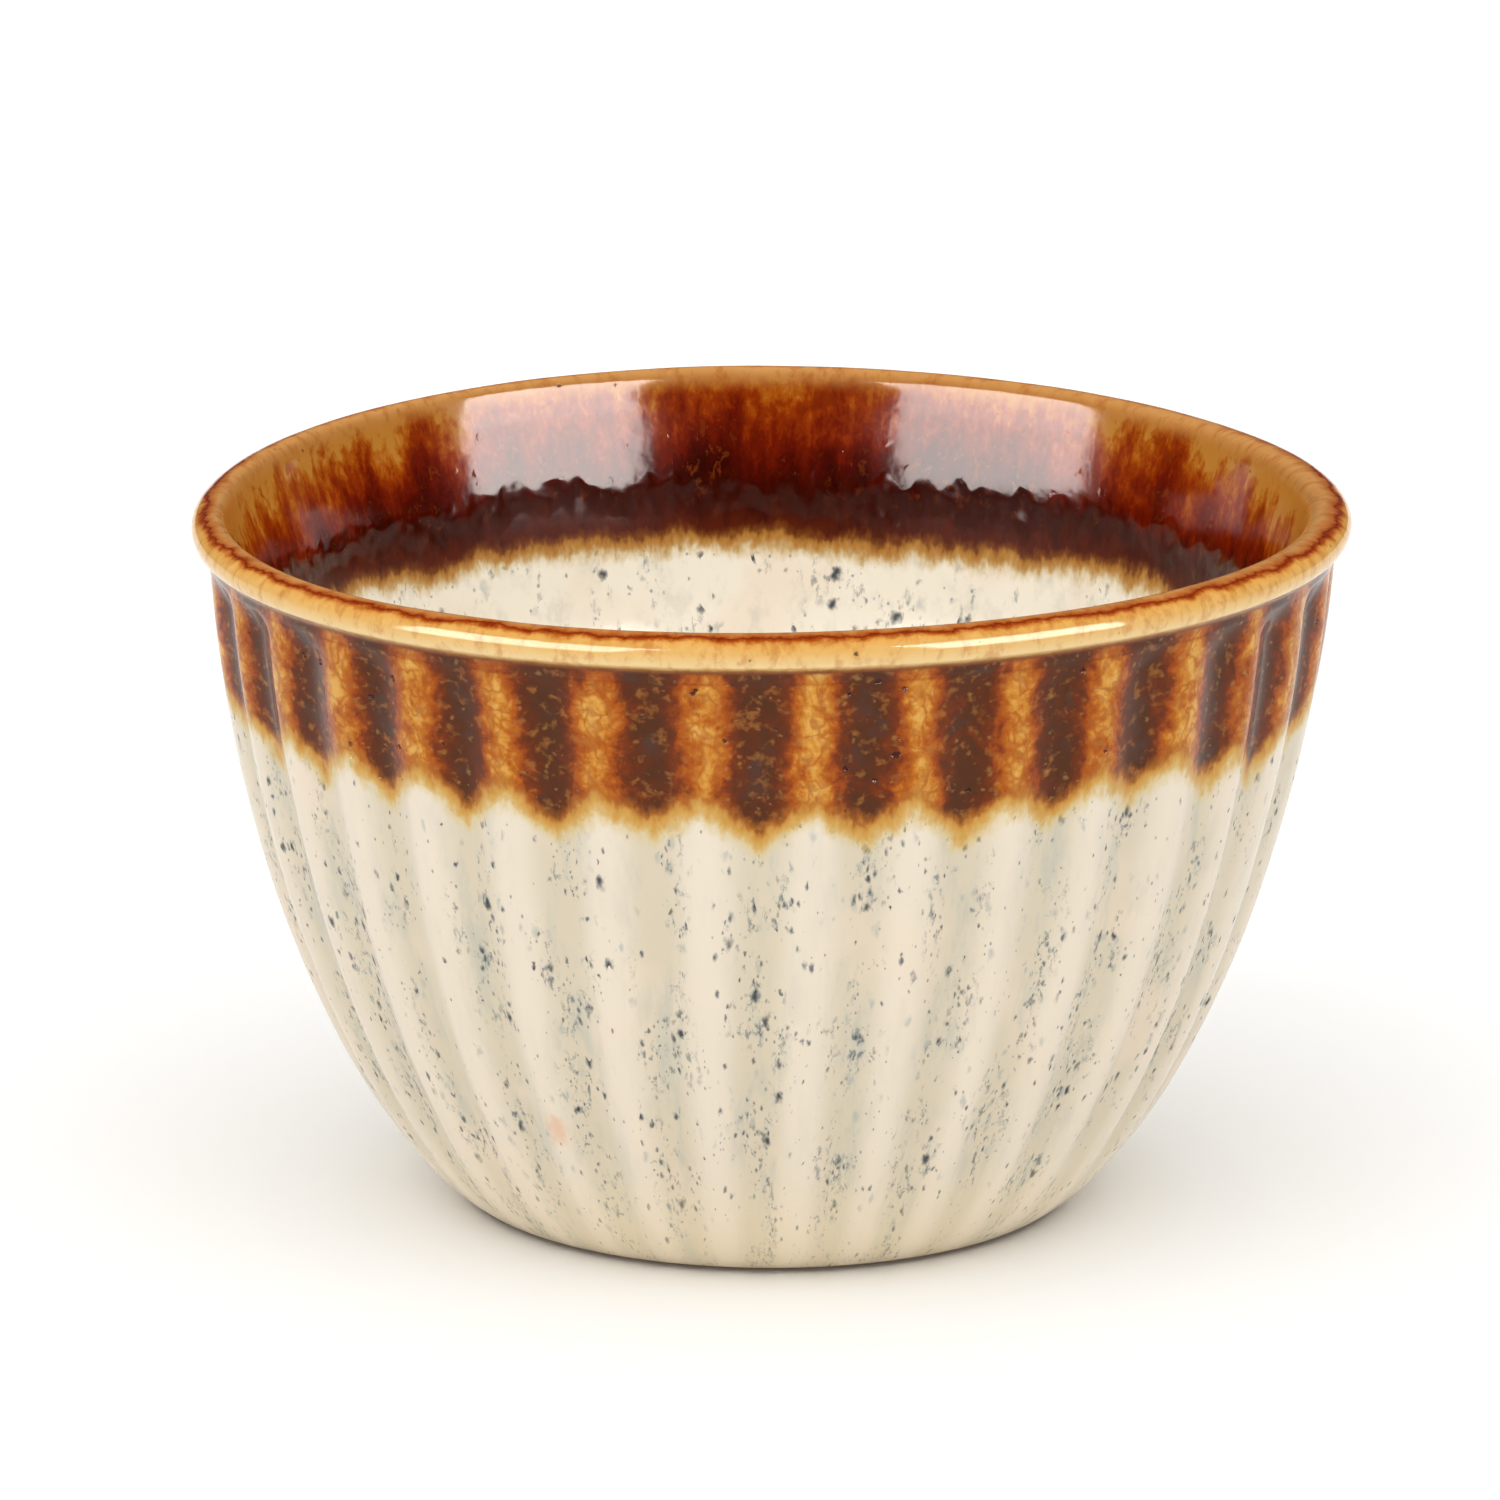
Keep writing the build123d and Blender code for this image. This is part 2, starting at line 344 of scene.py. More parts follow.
def closed_mesh(name, front, back, facts, back_facts, to_axis):
    """A coat of glaze from the points of its front and back, closed along both edges, or at the
    axis; facts become attributes that its material reads."""
    columns = front.shape[1]
    count_front, count_back = front.shape[0] * columns, back.shape[0] * columns
    points = np.vstack((front.reshape(-1, 3), back.reshape(-1, 3))) * MM
    faces = [ring_faces(0, front.shape[0], columns, False),
             ring_faces(count_front, back.shape[0], columns, True)]
    column = np.arange(columns)
    after = (column + 1) % columns
    faces.append(np.column_stack((column, count_front + column, count_front + after, after)))
    values = {key: np.concatenate([v.reshape(count, -1) for v, count in
                                   ((facts[key], count_front), (back_facts[key], count_back))])
              for key in facts}
    last_front, last_back = count_front - columns, count_front + count_back - columns
    faces = [tuple(f) for block in faces for f in block.tolist()]
    if to_axis:
        poles = np.array([[0.0, 0.0, front[-1, :, 2].mean()], [0.0, 0.0, back[-1, :, 2].mean()]]) * MM
        pole = len(points)
        points = np.vstack((points, poles))
        values = {key: np.vstack((v, v[last_front], v[last_back])) for key, v in values.items()}
        for i, j in zip(column.tolist(), after.tolist()):
            faces.append((last_front + i, last_front + j, pole))
            faces.append((last_back + j, last_back + i, pole + 1))
    else:
        for i, j in zip(column.tolist(), after.tolist()):
            faces.append((last_front + i, last_front + j, last_back + j, last_back + i))
    piece = new_piece(name, points.tolist(), faces, 55.0)
    for key, value in values.items():
        kind = "FLOAT_VECTOR" if value.shape[1] == 3 else "FLOAT"
        attribute = piece.data.attributes.new(key, kind, "POINT")
        attribute.data.foreach_set("vector" if kind == "FLOAT_VECTOR" else "value",
                                   value.ravel().astype(np.float32))
    return piece


def turned(name, outline, columns):
    """A closed solid turned from a closed outline of (radius, height) points that stays off the axis."""
    psi = np.arange(columns) * TURN / columns
    outline = np.array(outline)
    ring = np.stack((outline[:, :1] * np.sin(psi), -outline[:, :1] * np.cos(psi),
                     outline[:, 1:] + 0.0 * psi), axis=-1)
    rows = len(outline)
    row, column = np.meshgrid(np.arange(rows), np.arange(columns), indexing="ij")
    below, after = (row + 1) % rows, (column + 1) % columns
    faces = np.stack((row * columns + column, row * columns + after,
                      below * columns + after, below * columns + column), axis=-1).reshape(-1, 4)
    return new_piece(name, (ring.reshape(-1, 3) * MM).tolist(), faces.tolist(), 50.0)


# ---------------------------------------------------------------- material helpers
def colour(red, green, blue):
    """Linear colour from the 0 to 255 values of a screen colour."""
    parts = [c / 255.0 for c in (red, green, blue)]
    return tuple(c / 12.92 if c <= 0.04045 else ((c + 0.055) / 1.055) ** 2.4 for c in parts) + (1.0,)


class Graph:
    """Builds one material's nodes."""

    def __init__(self, name):
        self.material = bpy.data.materials.new(name)
        self.material.use_nodes = True
        self.tree = self.material.node_tree
        self.tree.nodes.clear()
        self.shader = self.tree.nodes.new("ShaderNodeBsdfPrincipled")
        output = self.tree.nodes.new("ShaderNodeOutputMaterial")
        self.tree.links.new(self.shader.outputs["BSDF"], output.inputs["Surface"])

    def put(self, socket, value):
        """Link a socket, or set a constant straight on it."""
        if isinstance(value, bpy.types.NodeSocket):
            self.tree.links.new(value, socket)
        else:
            socket.default_value = value

    def node(self, kind, inputs, **settings):
        made = self.tree.nodes.new(kind)
        for key, value in settings.items():
            setattr(made, key, value)
        for key, value in inputs.items():
            self.put(made.inputs[key], value)
        return made

    def fact(self, name, output="Fac"):
        """One of the mesh attributes that surface() describes."""
        return self.node("ShaderNodeAttribute", {}, attribute_name=name).outputs[output]

    def math(self, operation, a, b=0.0, c=0.0, clamp=False):
        made = self.node("ShaderNodeMath", {0: a, 1: b, 2: c}, operation=operation, use_clamp=clamp)
        return made.outputs[0]

    def add(self, a, b):
        return self.math("ADD", a, b)

    def times(self, a, b):
        return self.math("MULTIPLY", a, b)

    def step(self, value, low, high):
        """0 below low, 1 above high, smooth between; falling when low is above high."""
        return self.node("ShaderNodeMapRange", {"Value": value, "From Min": low, "From Max": high},
                         interpolation_type="SMOOTHSTEP").outputs["Result"]

    def stretch(self, vector, factors):
        """The vector with each of its parts multiplied."""
        made = self.node("ShaderNodeVectorMath", {0: vector, 1: factors}, operation="MULTIPLY")
        return made.outputs[0]

    def noise(self, vector, size, detail=2.0, roughness=0.5, distortion=0.0):
        """A noise texture with features about size millimetres across."""
        return self.node("ShaderNodeTexNoise", {"Vector": vector, "Scale": 1.0 / size, "Detail": detail,
                                                "Roughness": roughness, "Distortion": distortion})

    def mix(self, factor, a, b, blend="MIX"):
        made = self.node("ShaderNodeMix", {0: factor, 6: a, 7: b}, data_type="RGBA", blend_type=blend)
        return made.outputs[2]

    def ramp(self, value, stops):
        """Colours along a value from 0 to 1; stops are (place, colour)."""
        made = self.node("ShaderNodeValToRGB", {"Fac": value})
        elements = made.color_ramp.elements
        while len(elements) < len(stops):
            elements.new(0.5)
        for element, (place, shade) in zip(elements, stops):
            element.position, element.color = place, shade
        return made.outputs["Color"]

    def wobble(self, vector, size, reach):
        """The vector, pushed about by up to reach millimetres, so that spots get ragged outlines."""
        shift = self.node("ShaderNodeVectorMath", {0: self.noise(vector, size, 2.0).outputs["Color"],
                                                   1: (0.5, 0.5, 0.5)}, operation="SUBTRACT").outputs[0]
        return self.node("ShaderNodeVectorMath", {0: shift, 1: (reach * 2.0,) * 3, 2: vector},
                         operation="MULTIPLY_ADD").outputs[0]

    def spots(self, vector, cell, radius, share, soft=0.5):
        """Spots in a share of the cells of a random net; radius and cell in millimetres."""
        net = self.node("ShaderNodeTexVoronoi", {"Vector": vector, "Scale": 1.0 / cell})
        parts = self.node("ShaderNodeSeparateColor", {0: net.outputs["Color"]})
        size = self.math("MULTIPLY_ADD", parts.outputs[1], 0.75 * radius / cell, 0.25 * radius / cell)
        ratio = self.math("DIVIDE", net.outputs["Distance"], size)
        blob = self.step(ratio, 1.0, 1.0 - soft)
        return self.times(blob, self.math("LESS_THAN", parts.outputs[0], share))


# ---------------------------------------------------------------- glaze colours
SHINE_WALL, SHINE_INSIDE, SHINE_LIP = 0.16, 0.2, 0.22     # specular level of the three glazed surfaces
CENTRE = 0.5                                              # mean value of a noise


def cream_glaze(g, pattern, flute, streaky):
    """Speckled cream glaze: its colour, and its relief in millimetres. On the outside it ran down
    in streaks and its iron gathered in the flutes; inside it lies flat, with larger specks, and its
    cream is painted lighter, as painted light against the shade inside the bowl."""
    grow = 1.0 if streaky else 1.8
    stretched = g.stretch(pattern, (1.0 / grow, 1.0 / grow, 0.5 if streaky else 0.8 / grow))
    flow = g.stretch(pattern, (1.0, 1.0, 0.25 if streaky else 0.7))
    # inside, the pale and dull creams are painted lighter than outside: painted light against the shade
    # in the bowl
    pale = colour(232, 220, 201) if streaky else colour(250, 244, 230)
    dull = colour(214, 202, 178) if streaky else colour(244, 236, 218)
    pooled = g.add(flute, g.times(g.noise(flow, 5.0).outputs["Fac"], 0.5))
    base = g.mix(g.step(pooled, 0.15, 1.3), pale, dull)
    blush = g.step(g.noise(pattern, 11.0, 2.0).outputs["Fac"], 0.5, 0.75)
    base = g.mix(g.times(blush, 0.4), base, colour(240, 219, 197))
    cloud = g.noise(flow, 3.0, 4.0, 0.65).outputs["Fac"]
    gather = g.math("MULTIPLY_ADD", flute, 0.8 if streaky else 0.3, 0.2 if streaky else 0.4)
    wash = g.times(g.step(cloud, 0.47, 0.74), gather)
    base = g.mix(g.times(wash, 0.65), base, colour(184, 186, 174))
    clusters = g.noise(g.stretch(pattern, (1.0, 1.0, 0.45)), 4.5, 3.0, 0.6).outputs["Fac"]
    clusters = g.step(clusters, 0.42, 0.60)
    crowd = g.times(clusters, gather)
    ragged = g.wobble(stretched, 0.6, 0.4)
    big = g.spots(ragged, 1.25, 0.62, g.math("MULTIPLY_ADD", crowd, 0.5, 0.04), 0.8)
    bent = g.wobble(stretched, 0.4, 0.25)
    small = g.spots(bent, 0.7, 0.36, g.math("MULTIPLY_ADD", crowd, 0.7, 0.05), 0.8)
    tiny = g.spots(stretched, 0.42, 0.18, g.math("MULTIPLY_ADD", crowd, 0.6, 0.03), 0.8)
    faint = g.spots(ragged, 1.0, 0.6, g.math("MULTIPLY_ADD", crowd, 0.9, 0.06), 0.95)
    flecks = g.noise(g.stretch(pattern, (1.0, 1.0, 0.42)), 0.8, 4.0, 0.7, 0.4).outputs["Fac"]
    flecks = g.times(g.step(flecks, 0.53, 0.68), g.step(crowd, 0.2, 0.65))
    shade = g.mix(g.times(faint, 0.5), base, colour(150, 160, 160))
    shade = g.mix(g.times(flecks, 0.8), shade, colour(96, 108, 114))
    shade = g.mix(g.times(tiny, 0.7), shade, colour(84, 98, 110))
    shade = g.mix(g.times(small, 0.85), shade, colour(62, 76, 90))
    shade = g.mix(g.times(big, 0.94), shade, colour(42, 56, 70))
    relief = g.times(g.add(big, small), -0.012)
    return shade, relief


def brown_outside(g, pattern, flute, lip_pool_and_shade):
    """Iron glaze on the flutes: dark where it pooled, darker still just under the lip by pooled glaze
    and painted shade of the lip, amber where it ran thin over the ridges.
    Its colour, and the relief of its pits in millimetres."""
    blotch = g.noise(g.stretch(pattern, (1.0, 1.0, 0.7)), 2.6, 4.0, 0.6, 0.6).outputs["Fac"]
    grain = g.noise(pattern, 0.9, 3.0, 0.62).outputs["Fac"]
    thick = g.math("MULTIPLY_ADD", g.math("SUBTRACT", blotch, CENTRE), 1.15, g.times(flute, 0.84))
    thick = g.math("MULTIPLY_ADD", g.math("SUBTRACT", grain, CENTRE), 0.55, thick)
    # darker just under the lip: pooled glaze, and painted shade of the lip's overhang
    thick = g.add(thick, g.times(lip_pool_and_shade, 0.16))
    shade = g.ramp(g.math("ADD", thick, 0.12, clamp=True), (
        (0.0, colour(216, 162, 78)),
        (0.13, colour(202, 136, 48)),
        (0.28, colour(180, 98, 18)),
        (0.42, colour(154, 68, 4)),
        (0.56, colour(116, 48, 4)),
        (0.76, colour(94, 40, 6)),
        (1.0, colour(80, 40, 12)),
    ))
    vein = g.noise(g.stretch(pattern, (1.0, 1.0, 0.7)), 1.7, 1.0, 0.5, 0.8).outputs["Fac"]
    vein = g.step(g.math("ABSOLUTE", g.math("SUBTRACT", vein, CENTRE)), 0.10, 0.0)
    shade = g.mix(g.times(g.times(vein, g.step(thick, 0.6, 0.1)), 0.6), shade, colour(164, 76, 10))
    mottle = g.noise(g.wobble(pattern, 0.8, 0.3), 1.1, 2.0, 0.5).outputs["Fac"]
    shade = g.mix(g.times(g.step(mottle, 0.54, 0.74), 0.6), shade, colour(164, 104, 44))
    olive = g.spots(g.wobble(pattern, 0.5, 0.3), 0.9, 0.42, 0.4, 0.9)
    shade = g.mix(g.times(olive, 0.4), shade, colour(184, 144, 80))
    # painted sheen: purple-grey patches laid over the thick brown glaze
    painted_sheen = g.step(g.noise(pattern, 3.4, 2.0).outputs["Fac"], 0.52, 0.68)
    shade = g.mix(g.times(g.times(painted_sheen, g.step(thick, 0.5, 0.9)), 0.45), shade, colour(76, 58, 52))
    pits = g.spots(g.wobble(pattern, 0.5, 0.3), 2.2, 0.46, 0.34, 0.5)
    shade = g.mix(g.times(pits, 0.85), shade, colour(54, 12, 4))
    return shade, g.times(pits, -0.18)


def brown_inside(g, pattern, below_rim):
    """Iron glaze inside: almost black red, drawn down in fine streaks, ochre where it thins
    at the rim."""
    streak = g.noise(g.stretch(pattern, (1.0, 1.0, 0.25)), 1.7, 4.0, 0.62, 0.3).outputs["Fac"]
    broad = g.noise(g.stretch(pattern, (1.0, 1.0, 0.55)), 6.0, 3.0, 0.6).outputs["Fac"]
    grain = g.noise(g.stretch(pattern, (1.0, 1.0, 0.7)), 1.0, 3.0, 0.65, 0.4).outputs["Fac"]
    thick = g.math("MULTIPLY_ADD", g.math("SUBTRACT", streak, CENTRE), 9.0, below_rim)
    thick = g.math("MULTIPLY_ADD", g.math("SUBTRACT", broad, CENTRE), 17.0, thick)
    thick = g.math("MULTIPLY_ADD", g.math("SUBTRACT", grain, CENTRE), 8.0, thick)
    rich = g.ramp(g.math("DIVIDE", thick, 13.0, clamp=True), (
        (0.0, colour(190, 128, 50)),
        (0.14, colour(172, 90, 16)),
        (0.3, colour(146, 52, 2)),
        (0.5, colour(112, 24, 0)),
        (0.75, colour(78, 9, 0)),
        (1.0, colour(50, 4, 0)),
    ))
    worn = g.times(g.step(grain, 0.54, 0.68), g.step(broad, 0.36, 0.6))
    return g.mix(g.times(worn, 0.5), rich, colour(140, 60, 8))


def edge_blend(g, brown, pattern, cream, iron, fringe, flow_size, frayed, reach):
    """Cream glaze below, iron glaze above, with the three colours of the fringe where the two run
    together. The second result is 0 on the cream glaze and 1 on the iron glaze."""
    fuzz = g.noise(g.stretch(pattern, (1.0, 1.0, 0.5)), flow_size, 3.0, 0.6).outputs["Fac"]
    fine = g.noise(g.stretch(pattern, (1.0, 1.0, 0.5)), 0.6, 2.0, 0.6).outputs["Fac"]
    level = g.math("MULTIPLY_ADD", g.math("SUBTRACT", fuzz, CENTRE), 3.6, brown)
    level = g.math("MULTIPLY_ADD", g.math("SUBTRACT", fine, CENTRE), frayed, level)
    level = g.math("DIVIDE", level, reach)
    shade = g.mix(g.times(g.step(level, -2.4, -0.2), 0.8), cream, fringe[0])
    shade = g.mix(g.times(g.step(level, -1.2, 0.5), 0.92), shade, fringe[1])
    shade = g.mix(g.times(g.step(level, 0.3, 1.7), 0.9), shade, fringe[2])
    return g.mix(g.step(level, 0.8, 2.8), shade, iron), g.step(level, -1.0, 1.0)


def finish_glaze(g, shade, relief, pattern, roughness, shine):
    """Glassy surface with the faint waviness of a fired glaze; relief is in millimetres."""
    ripple = g.noise(pattern, 2.4, 2.0, 0.5).outputs["Fac"]
    peel = g.noise(pattern, 0.8, 1.0, 0.5).outputs["Fac"]
    height = g.math("MULTIPLY_ADD", ripple, 0.03, relief)
    height = g.math("MULTIPLY_ADD", peel, 0.004, height)
    bump = g.node("ShaderNodeBump", {"Height": height, "Distance": MM, "Strength": 1.0})
    g.put(g.shader.inputs["Base Color"], shade)
    g.put(g.shader.inputs["Normal"], bump.outputs["Normal"])
    g.put(g.shader.inputs["Roughness"], roughness)
    g.shader.inputs["IOR"].default_value = 1.5
    g.shader.inputs["Specular IOR Level"].default_value = shine
    return g.material


def outside_material():
    """Cream wall with the iron glaze hanging from the rim."""
    g = Graph("outside_glaze")
    pattern, flute = g.fact("pattern", "Vector"), g.fact("flute")
    cream, relief = cream_glaze(g, pattern, flute, True)
    # warmer and lighter towards the foot: a warmer tone, and painted light against the shade low on the
    # wall
    cream = g.mix(g.times(g.step(g.fact("height"), 16.0, 1.0), 0.35), cream, colour(252, 232, 190))
    squeezed = g.wobble(g.stretch(pattern, (1.0, 1.0, RUST_SQUEEZE)), 1.5, 1.2)
    rust = g.node("ShaderNodeVectorMath", {0: squeezed, 1: RUST_SPOT},
                  operation="DISTANCE").outputs["Value"]
    cream = g.mix(g.times(g.step(rust, 1.9, 0.4), 0.5), cream, colour(226, 164, 122))
    # 1 in the last half millimetre below the lip, where the brown is darkened: pooled glaze and painted
    # shade of the lip
    lip_pool_and_shade = g.step(g.fact("from_neck"), -0.45, 0.0)
    iron, pits = brown_outside(g, pattern, flute, lip_pool_and_shade)
    fringe = (colour(214, 188, 122), colour(202, 150, 64), colour(168, 92, 22))
    shade, share = edge_blend(g, g.fact("brown"), pattern, cream, iron, fringe, 1.6, 1.2, 1.0)
    relief = g.math("MULTIPLY_ADD", share, 0.05, g.add(relief, g.times(pits, share)))
    rough = g.node("ShaderNodeMapRange", {"Value": share, "To Min": 0.2, "To Max": 0.13})
    return finish_glaze(g, shade, relief, pattern, rough.outputs["Result"], SHINE_WALL)


def inside_material():
    """Iron glaze over cream inside the bowl."""
    g = Graph("inside_glaze")
    pattern = g.fact("pattern", "Vector")
    place = g.node("ShaderNodeTexCoord", {}).outputs["Object"]
    flat = g.stretch(place, (1.0 / MM,) * 3)
    cream, relief = cream_glaze(g, flat, 0.35, False)
    iron = brown_inside(g, pattern, g.fact("below_rim"))
    # the second dip of iron glaze ends in a ragged roll here; below it the coat is thinner and duller
    ragged = g.noise(g.stretch(pattern, (1.0, 1.0, 0.4)), 1.6, 4.0, 0.65, 0.3).outputs["Fac"]
    level = g.math("MULTIPLY_ADD", g.math("SUBTRACT", ragged, CENTRE), 9.0, g.fact("brown"))
    iron = g.mix(g.times(g.step(level, 7.5, 5.0), 0.7), iron, colour(58, 8, 0))
    iron = g.mix(g.times(g.step(level, 5.0, 1.0), 0.7), iron, colour(92, 28, 2))
    drape = g.noise(g.stretch(pattern, (1.0, 1.0, 0.6)), 2.6, 1.0, 0.5).outputs["Fac"]
    drape = g.math("MULTIPLY_ADD", g.math("SUBTRACT", drape, CENTRE), 5.5, g.fact("brown"))
    roll = g.step(drape, 3.0, 7.4)
    fringe = (colour(208, 180, 114), colour(180, 122, 42), colour(120, 60, 12))
    shade, share = edge_blend(g, g.fact("brown"), pattern, cream, iron, fringe, 2.4, 0.8, 0.8)
    relief = g.math("MULTIPLY_ADD", roll, 0.34, g.math("MULTIPLY_ADD", share, 0.04, relief))
    rough = g.node("ShaderNodeMapRange", {"Value": g.times(share, g.math("SUBTRACT", 1.0, roll)),
                                          "To Min": 0.12, "To Max": 0.2}).outputs["Result"]
    return finish_glaze(g, shade, relief, pattern, rough, SHINE_INSIDE)


def lip_material():
    """The iron glaze runs thin over the lip: honey on the outer band, red-brown on the sharp edge."""
    g = Graph("lip_glaze")
    pattern, place = g.fact("pattern", "Vector"), g.fact("from_neck")
    # the 0.6 darkens the lip's underside as just below it: pooled glaze and painted shade
    iron, _ = brown_outside(g, pattern, g.fact("flute"), 0.6)
    inner = brown_inside(g, pattern, g.fact("below_rim"))
    drift = g.noise(pattern, 3.0, 4.0, 0.65).outputs["Fac"]
    patchy = g.math("MULTIPLY_ADD", g.step(place, 3.2, 5.2), 2.2, 0.6)
    where = g.math("MULTIPLY_ADD", g.math("SUBTRACT", drift, CENTRE), patchy, place)
    honey = g.ramp(g.math("DIVIDE", where, 12.0, clamp=True), (
        (0.08, colour(112, 58, 22)),
        (0.115, colour(144, 88, 38)),
        (0.15, colour(214, 174, 106)),
        (0.21, colour(236, 208, 152)),
        (0.32, colour(228, 184, 112)),
        (0.43, colour(216, 158, 76)),
        (0.475, colour(168, 76, 14)),
        (0.505, colour(122, 32, 2)),
        (0.54, colour(178, 98, 38)),
        (0.62, colour(198, 142, 80)),
        (0.9, colour(182, 116, 48)),
    ))
    mottle = g.noise(g.stretch(pattern, (1.0, 1.0, 0.5)), 1.2, 3.0, 0.65).outputs["Fac"]
    honey = g.mix(g.times(g.step(mottle, 0.46, 0.7), 0.45), honey, colour(206, 142, 66), "MULTIPLY")
    shade = g.mix(g.step(place, 1.2, 0.8), honey, iron)
    end = S_INNER_EDGE - S_NECK
    shade = g.mix(g.step(place, end - 4.0, end - 1.5), shade, inner)
    specks = g.spots(g.wobble(pattern, 0.4, 0.2), 1.7, 0.3, 0.22, 0.7)
    shade = g.mix(g.times(specks, 0.85), shade, colour(60, 40, 28))
    return finish_glaze(g, shade, g.times(specks, -0.03), pattern, 0.11, SHINE_LIP)


def clay_material():
    """Bare fired stoneware with fine dark grog."""
    g = Graph("bare_clay")
    place = g.stretch(g.node("ShaderNodeTexCoord", {}).outputs["Object"], (1.0 / MM,) * 3)
    grain = g.noise(place, 0.6, 3.0, 0.6).outputs["Fac"]
    shade = g.mix(g.step(grain, 0.3, 0.7), colour(196, 168, 132), colour(172, 140, 104))
    grog = g.spots(place, 1.3, 0.25, 0.2, 0.5)
    g.put(g.shader.inputs["Base Color"], g.mix(g.times(grog, 0.8), shade, colour(90, 66, 48)))
    bump = g.node("ShaderNodeBump", {"Height": g.times(grain, 0.06), "Distance": MM, "Strength": 1.0})
    g.put(g.shader.inputs["Normal"], bump.outputs["Normal"])
    g.shader.inputs["Roughness"].default_value = 0.85
    return g.material


def floor_material():
    """Matte pale paper."""
    g = Graph("studio_floor")
    place = g.node("ShaderNodeTexCoord", {}).outputs["Object"]
    tone = g.noise(place, 0.4, 2.0).outputs["Fac"]
    g.put(g.shader.inputs["Base Color"], g.mix(tone, colour(243, 243, 242), colour(246, 246, 245)))
    g.shader.inputs["Roughness"].default_value = 0.9
    g.shader.inputs["Specular IOR Level"].default_value = 0.1
    return g.material


# ---------------------------------------------------------------- the bowl's pieces
def add_piece(piece, material, slot, *nodes):
    """Give a piece its material and its body, and hide the CAD nodes that it stands for; slot is not
    used.
    """
    piece.data.materials.append(material)
    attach(piece, "root")
    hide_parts(*nodes)


def build_glaze():
    """The coats of glaze, cut where the CAD nodes end and where the lip begins and ends."""
    outside, lip, inside = outside_material(), lip_material(), inside_material()
    s_split, s_inside = outside_at(SPLIT_OUTSIDE), inside_at(SPLIT_INSIDE)
    cream_out = shell("cream_glaze_wall", 0.0, s_split, 0.55, COLUMNS)
    brown_out = shell("brown_glaze_band", s_split, S_NECK, 0.5, COLUMNS)
    rim = shell("brown_glaze_lip", S_NECK, S_INNER_EDGE, 0.22, COLUMNS, 0.6)
    brown_in = shell("brown_glaze_mouth", S_INNER_EDGE, s_inside, 0.6, COLUMNS)
    cream_in = shell("cream_glaze_well", s_inside, ALONG[-1] - 0.5, 0.8, COLUMNS // 2, 2.4, True)
    add_piece(cream_out, outside, "cream_glaze", "cream_glaze_outside")
    add_piece(brown_out, outside, "brown_glaze", "brown_rim_glaze")
    add_piece(rim, lip, "brown_glaze", "brown_rim_glaze")
    add_piece(brown_in, inside, "brown_glaze", "brown_rim_glaze")
    add_piece(cream_in, inside, "cream_glaze", "cream_glaze_inside")


def build_clay():
    """The clay under the glaze, and the bare foot ring."""
    clay = clay_material()
    psi = np.arange(COLUMNS // 2) * TURN / (COLUMNS // 2)
    rows = np.linspace(1.5, ALONG[-1] - 0.5, 160)
    front, _ = surface(rows, psi, -GLAZE - CLAY_GAP)
    core = core_mesh(front, FOOT_HEIGHT)
    add_piece(core, clay, "fired_clay", "clay_body")
    ring = turned("foot_ring_turned", foot_outline(), 256)
    add_piece(ring, clay, "fired_clay", "foot_ring")


def core_mesh(front, base_height):
    """Closed clay body: the surface under the glaze, closed by a flat underside at the foot's top."""
    rows, columns = front.shape[:2]
    points = front.reshape(-1, 3)
    under = front[0].copy()
    under[:, 2] = base_height
    middles = [[0.0, 0.0, base_height], [0.0, 0.0, front[-1, :, 2].mean()]]
    points = np.vstack((points, under, middles)) * MM
    faces = ring_faces(0, rows, columns, False).tolist()
    first_under, centre, top = rows * columns, rows * columns + columns, rows * columns + columns + 1
    for i in range(columns):
        j = (i + 1) % columns
        faces.append((i, first_under + i, first_under + j, j))
        faces.append((first_under + j, first_under + i, centre))
        faces.append(((rows - 1) * columns + i, (rows - 1) * columns + j, top))
    return new_piece("clay_wall_and_floor", points.tolist(), faces, 50.0)


def foot_outline():
    """Section of the foot ring: flat where it stands, rounded inside, rising outside with the wall."""
    recess, resting, bend = 25.0, 27.5, 0.6
    heights = np.linspace(FOOT_HEIGHT, 0.25, 14)
    outside = [(r, z) for r, z in zip(wall_radius(heights), heights)]
    rounding = [(FOOT_RADIUS + 0.75, 0.08), (FOOT_RADIUS + 0.2, 0.0)]
    inner = [(recess + bend * (1 - math.sin(a)), bend * (1 - math.cos(a)))
             for a in np.linspace(0.0, math.pi / 2, 8)]
    return outside + rounding + [(resting, 0.0)] + inner + [(recess, FOOT_HEIGHT)]


# ---------------------------------------------------------------- studio
SOFTBOX = 50.0                # watts
SOFTBOX_TINT = (1.0, 0.94, 0.9)
CEILING = 2.8                 # strength of the wide light from above
FRONT_LEFT, FRONT_RIGHT = 0.62, 0.42
AIR, AIR_IN_GLAZE = 0.2, 0.05     # the room's light on things, and as the glaze reflects it
CAMERA_DISTANCE = 1.1916      # to the middle of the rim, metres
CAMERA_ELEVATION = 13.81      # degrees
CAMERA_LENS = 276.0
CAMERA_ROLL = -0.355          # degrees
AIM_ASIDE, AIM_BELOW = -1.86 * MM, 25.2 * MM   # the picture's middle, seen from the rim's middle
RIM_MIDDLE = BOWL_HEIGHT - 1.33


def build_floor():
    """A wide pale floor at the height that the foot stands on."""
    rings, columns = np.array([0.02, 0.1, 0.5, 2.0, 12.0]), 96
    turn = np.arange(columns) * TURN / columns
    points = np.stack((rings[:, None] * np.cos(turn), rings[:, None] * np.sin(turn),
                       np.zeros((len(rings), columns))), axis=-1).reshape(-1, 3)
    faces = ring_faces(0, len(rings), columns, True).tolist()
    faces.append(list(range(columns)))
    mesh = bpy.data.meshes.new("floor")
    mesh.from_pydata(points.tolist(), [], faces)
    floor = bpy.data.objects.new("floor", mesh)
    floor.location.z = CAD_BOX[0][2]
    bpy.context.scene.collection.objects.link(floor)
    floor.data.materials.append(floor_material())


